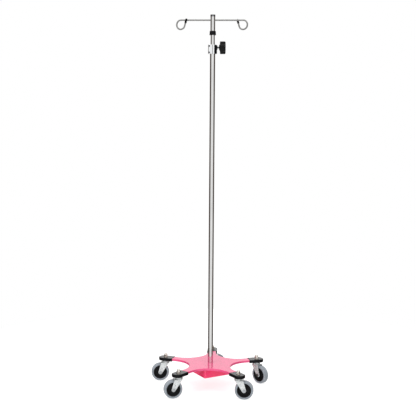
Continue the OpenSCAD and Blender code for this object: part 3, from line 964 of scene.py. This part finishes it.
def clamp_cheek():
    """Black half of the clamp: a barrel side with the boss that the stud runs in."""
    r = -band_low.x
    corners = [(0, band_low.z), (r, band_low.z), (r, band_high.z), (0, band_high.z)]
    barrel = lathe(fillet(corners, [0, 3.5, 3.5, 0], closed=False), 128, False)
    side = block((-40, -30, band_low.z - 1), (split_x, 30, band_high.z + 1))
    end = box("clamp_block")[1].x
    boss = [(0, split_x + 1), (BOSS_R, split_x + 1), (BOSS_R, end), (0, end)]
    bm = cut(barrel, *clamp_bores(), side)
    return lathe(fillet(boss, [0, 0, 1.5, 0], closed=False), 64, False, at_stud, bm)


piece("clamp_cheek", clamp_cheek(), "root", ["clamp_block"], "black_moulding")


def screw_heads():
    """Socket screws at the bottom of their counterbores."""
    bm = bmesh.new()
    r = SCREW_HEAD_R
    socket = SCREW_SOCKET_R
    rows = [(0, 4), (r, 4), (r, 0.5), (r - 0.4, 0)]
    rows += [(socket + 0.3, 0), (socket, 0.3), (socket, 2.2), (0, 2.6)]
    for z in screw_heights:
        lathe(rows, 36, False, Matrix.Translation((screw_x, screw_low.y, z)) @ ALONG_Y, bm)
    return bm


piece("clamp_cap_screws", screw_heads(), "root", ["clamp_screws"], "bolt_steel")

KNOB_LOBES = 7
KNOB_DEPTH = 0.116  # share of the mean radius
knob_mean_r = (stud_z - knob_low.z) / (1 + KNOB_DEPTH)


def lobed(angle, row):
    """Radius at an angle. A row is (radius, height, how much of the lobes it has)."""
    return row[0] * (1 + row[2] * KNOB_DEPTH * cos(KNOB_LOBES * angle))


def knob_mesh():
    """Seven soft lobes on a round hub, with a shallow dish and a cap in the outer face."""
    hub, end, r = knob_low.x, knob_high.x, knob_mean_r
    body = hub + 3.5
    rows = [(9.5, hub, 0), (11.3, hub + 0.3, 0), (12, hub + 1.2, 0), (12.4, body - 1, 0)]
    rows += [(13.4, body - 0.4, 0.1), (16.0, body - 0.1, 0.5), (19.0, body + 0.2, 0.85)]
    for t in range(15, 91, 15):
        rows.append((r - 3 + 3 * sin(radians(t)), body + 3.2 - 3 * cos(radians(t)), 1))
    rows += [(r, end - 4.5 - k * 2.9, 1) for k in (3, 2, 1)]
    for t in range(0, 80, 13):
        rows.append((r - 4 + 4 * cos(radians(t)), end - 4.3 + 4 * sin(radians(t)), 1))
    rows += [(r - 6.5, end - 0.1, 0.8), (r - 8.5, end - 0.15, 0.3), (12.2, end - 0.5, 0)]
    rows += [(11.2, end - 1.6, 0), (10.9, end - 1.7, 0), (10.6, end - 1.0, 0)]
    rows += [(9.8, end - 0.5, 0), (6, end - 0.1, 0), (2, end, 0)]
    return ring_solid(lobed, rows, 140, at_stud)


piece("lobed_knob", knob_mesh(), "clamp_knob", ["knob"], "knob_moulding", sharp=50)

STUD_PITCH = 1.25
STUD_THREAD = 0.65
STUD_POINT = 3
STUD_STEP = 0.25


def thread(angle, row):
    """Radius at an angle. A row is (radius, height, how much of the thread it has)."""
    turn = (row[1] / STUD_PITCH - angle / (2 * pi)) % 1
    return row[0] - STUD_THREAD * abs(2 * turn - 1) * row[2]


def stud_mesh():
    """Threaded stud with a plain point."""
    low, high = box("knob_stud")
    r = (high.z - low.z) / 2
    rows = [(2.5, low.x, 0), (2.5, low.x + 2.3, 0), (3.3, low.x + 2.6, 0)]
    for k in range(int((high.x - low.x - STUD_POINT) / STUD_STEP)):
        rows.append((r, low.x + STUD_POINT + STUD_STEP * k, 1))
    return ring_solid(thread, rows, 40, at_stud)


piece("threaded_stud", stud_mesh(), "clamp_knob", ["knob_stud"], "turned_steel")

# ---------------------------------------------------------------- hook rod

ROD_D = 6.5
LOOP_REACH = 131
LOOP_R = 19
LOOP_TURN = radians(23)
LOOP_END = radians(17)
BEND_R = 20
TAIL = 29.5
WIRE_TAIL = TAIL - 1.3  # the wire ends inside its sleeve
TIP_LEN = 17
TIP_R = 4.5
LOOP_STEPS = 44
rod_low, rod_high = box("hook_rod")
rod_middle = Vector(((rod_low.x + rod_high.x) / 2, 0, rod_low.z + 2 * LOOP_R + ROD_D / 2))
loop_top = Vector((LOOP_REACH, -BEND_R * (1 - cos(LOOP_TURN)), 0))
in_loop = Matrix.Translation(loop_top) @ Matrix.Rotation(-LOOP_TURN, 4, "Z")
tail_start = Vector((-LOOP_R * cos(LOOP_END), 0, -LOOP_R - LOOP_R * sin(LOOP_END)))
on_tail = in_loop @ Matrix.Translation(tail_start) @ Matrix.Rotation(-LOOP_END, 4, "Y")


def half_rod():
    """Centre line from the rod's middle out, round the loop and up its tail."""
    bend_x = LOOP_REACH - BEND_R * sin(LOOP_TURN)
    path = [Vector((bend_x * k / 6, 0, 0)) for k in range(7)]
    for k in range(1, 6):
        a = LOOP_TURN * k / 5
        path.append(Vector((bend_x + BEND_R * sin(a), -BEND_R * (1 - cos(a)), 0)))
    arc = 3 * pi / 2 - LOOP_END
    for k in range(1, LOOP_STEPS + 1):
        a = pi / 2 - arc * k / LOOP_STEPS
        path.append(in_loop @ Vector((LOOP_R * cos(a), 0, -LOOP_R + LOOP_R * sin(a))))
    path += [on_tail @ Vector((0, 0, WIRE_TAIL * k / 5)) for k in range(1, 6)]
    return path


right = half_rod()
centre_line = [HALF_TURN @ p for p in right[:0:-1]] + right
wire = sweep(centre_line, ROD_D / 2, 28, Matrix.Translation(rod_middle))
piece("hook_wire", wire, "upper_pole", ["hook_rod"], "hook_wire")


def sleeves():
    """A round-nosed sleeve with a shallow groove on each end of the wire."""
    bm = bmesh.new()
    r = TIP_R
    straight = TIP_LEN - r + 2
    profile = [(0, 0), (ROD_D / 2, 0), (r - 0.5, 0), (r - 0.1, 0.25), (r, 0.7), (r, 3)]
    profile += [(r - 0.2, 3.3), (r - 0.2, 3.9), (r, 4.2)]
    profile += [(r * cos(radians(t)), straight + r * sin(radians(t))) for t in range(0, 90, 10)]
    profile.append((0, straight + r))
    for side in (Matrix(), HALF_TURN):
        start = Matrix.Translation((0, 0, TAIL - TIP_LEN))
        lathe(profile, 40, False, Matrix.Translation(rod_middle) @ side @ on_tail @ start, bm)
    return bm


piece("hook_sleeves", sleeves(), "upper_pole", ["hook_tips"], "hook_sleeve")

# ---------------------------------------------------------------- CAD nodes that stay

for node, made in frame["nodes"].items():
    if not made.hide_render:
        made.data.materials.clear()
        made.data.materials.append(looks[slots[node]])

# ---------------------------------------------------------------- camera

# Metres and degrees, with the lens in millimetres.
CAMERA_DISTANCE = 3.570
CAMERA_HEIGHT = 1.154
CAMERA_AZIMUTH = radians(2.45)
CAMERA_HEADING = radians(2.69)
CAMERA_TILT = radians(5.96)
CAMERA_ROLL = radians(0.40)
CAMERA_LENS = 72.44

lens = bpy.data.cameras.new("camera")
lens.lens = CAMERA_LENS
lens.sensor_width = 36
lens.clip_start = 0.05
lens.clip_end = 100
camera = bpy.data.objects.new("camera", lens)
scene.collection.objects.link(camera)
aim = Matrix.Rotation(CAMERA_HEADING, 4, "Z") @ Matrix.Rotation(pi / 2 - CAMERA_TILT, 4, "X")
aim = aim @ Matrix.Rotation(CAMERA_ROLL, 4, "Z")
stand = Vector((sin(CAMERA_AZIMUTH), -cos(CAMERA_AZIMUTH), 0)) * CAMERA_DISTANCE
camera.matrix_world = Matrix.Translation(stand + Vector((0, 0, CAMERA_HEIGHT))) @ aim
scene.camera = camera

# ---------------------------------------------------------------- studio

FLOOR_R = 1500
FLOOR_T = 2
FLOOR_GLOW = 0.74  # keeps the shadow under the base faint
WHITE = (1, 1, 1, 1)

disc = [(0, -FLOOR_T), (FLOOR_R, -FLOOR_T), (FLOOR_R, 0), (0, 0)]
floor = to_object(lathe(disc, 160, False), "floor")
floor.data.transform(Matrix.Scale(MM, 4))
paper = Surface("pale floor", (0.4, 0.4, 0.4), 0.9, Specular_IOR_Level=0.1, Emission_Strength=FLOOR_GLOW)
paper.shader.inputs["Emission Color"].default_value = WHITE
paper.bump(paper.texture(NOISE, 300, Detail=3.0), 0.02, 0.05)
floor.data.materials.append(paper.material)
floor.visible_glossy = False  # metal shows the studio round it instead


FRONT_SHIFT = 0.08  # the front of the studio lies this far to the right
SURROUND = [  # (share of the way round from the front to the back, colour)
    (0.00, (0.93, 0.94, 0.95)),
    (0.25, (0.86, 0.87, 0.88)),
    (0.38, (0.08, 0.06, 0.045)),
    (0.76, (0.05, 0.036, 0.03)),
    (0.86, (0.30, 0.29, 0.28)),
    (0.92, (0.9, 0.9, 0.9)),
]
CEILING = (1.25, 1.25, 1.25, 1)
CEILING_START = 0.35  # upward part of a direction where the ceiling starts to show
CEILING_FULL = 0.75


def studio_world():
    """White backdrop for the camera. All else sees white in front, behind and above, and dark sides."""
    world = bpy.data.worlds.new("studio")
    scene.world = world
    world.use_nodes = True
    tree = world.node_tree
    tree.nodes.clear()

    def node(kind, *inputs):
        """A node whose first inputs are linked to the sockets given or set to the values given."""
        made = tree.nodes.new(kind)
        for socket, value in zip(made.inputs, inputs):
            if isinstance(value, bpy.types.NodeSocket):
                tree.links.new(value, socket)
            else:
                socket.default_value = value
        return made

    def math(operation, *values):
        made = node("ShaderNodeMath", *values)
        made.operation = operation
        return made.outputs[0]

    direction = node("ShaderNodeTexCoord").outputs["Generated"]
    x, y, z = node("ShaderNodeSeparateXYZ", direction).outputs
    sideways = math("ABSOLUTE", math("SUBTRACT", x, FRONT_SHIFT))
    from_front = math("DIVIDE", math("ARCTAN2", sideways, math("MULTIPLY", y, -1.0)), pi)
    ring = node("ShaderNodeValToRGB", from_front)
    set_stops(ring, SURROUND)
    overhead = node("ShaderNodeMapRange", z, CEILING_START, CEILING_FULL)
    sky = node("ShaderNodeMix")
    sky.data_type = "RGBA"
    tree.links.new(overhead.outputs[0], sky.inputs[0])
    tree.links.new(ring.outputs[0], sky.inputs[6])
    sky.inputs[7].default_value = CEILING
    around = node("ShaderNodeBackground", sky.outputs[2], 1.0)
    backdrop = node("ShaderNodeBackground", WHITE, 1.0)
    seen = node("ShaderNodeLightPath").outputs["Is Camera Ray"]
    mix = node("ShaderNodeMixShader", seen, around.outputs[0], backdrop.outputs[0])
    node("ShaderNodeOutputWorld", mix.outputs[0])


def softbox(name, place, target, size, power):
    """A round area light that shiny surfaces don't show."""
    light = bpy.data.lights.new(name, "AREA")
    light.shape = "DISK"
    light.size = size
    light.energy = power
    made = bpy.data.objects.new(name, light)
    scene.collection.objects.link(made)
    made.location = place
    made.rotation_mode = "QUATERNION"
    made.rotation_quaternion = (Vector(target) - Vector(place)).to_track_quat("-Z", "Y")
    made.visible_glossy = False


studio_world()
softbox("overhead", (-0.3, -0.5, 4.2), (0, 0, 0), 3.0, 68)
softbox("key", (-2.4, -3.0, 1.2), (0, 0, 0.2), 1.6, 32)
scene.view_settings.view_transform = "Standard"
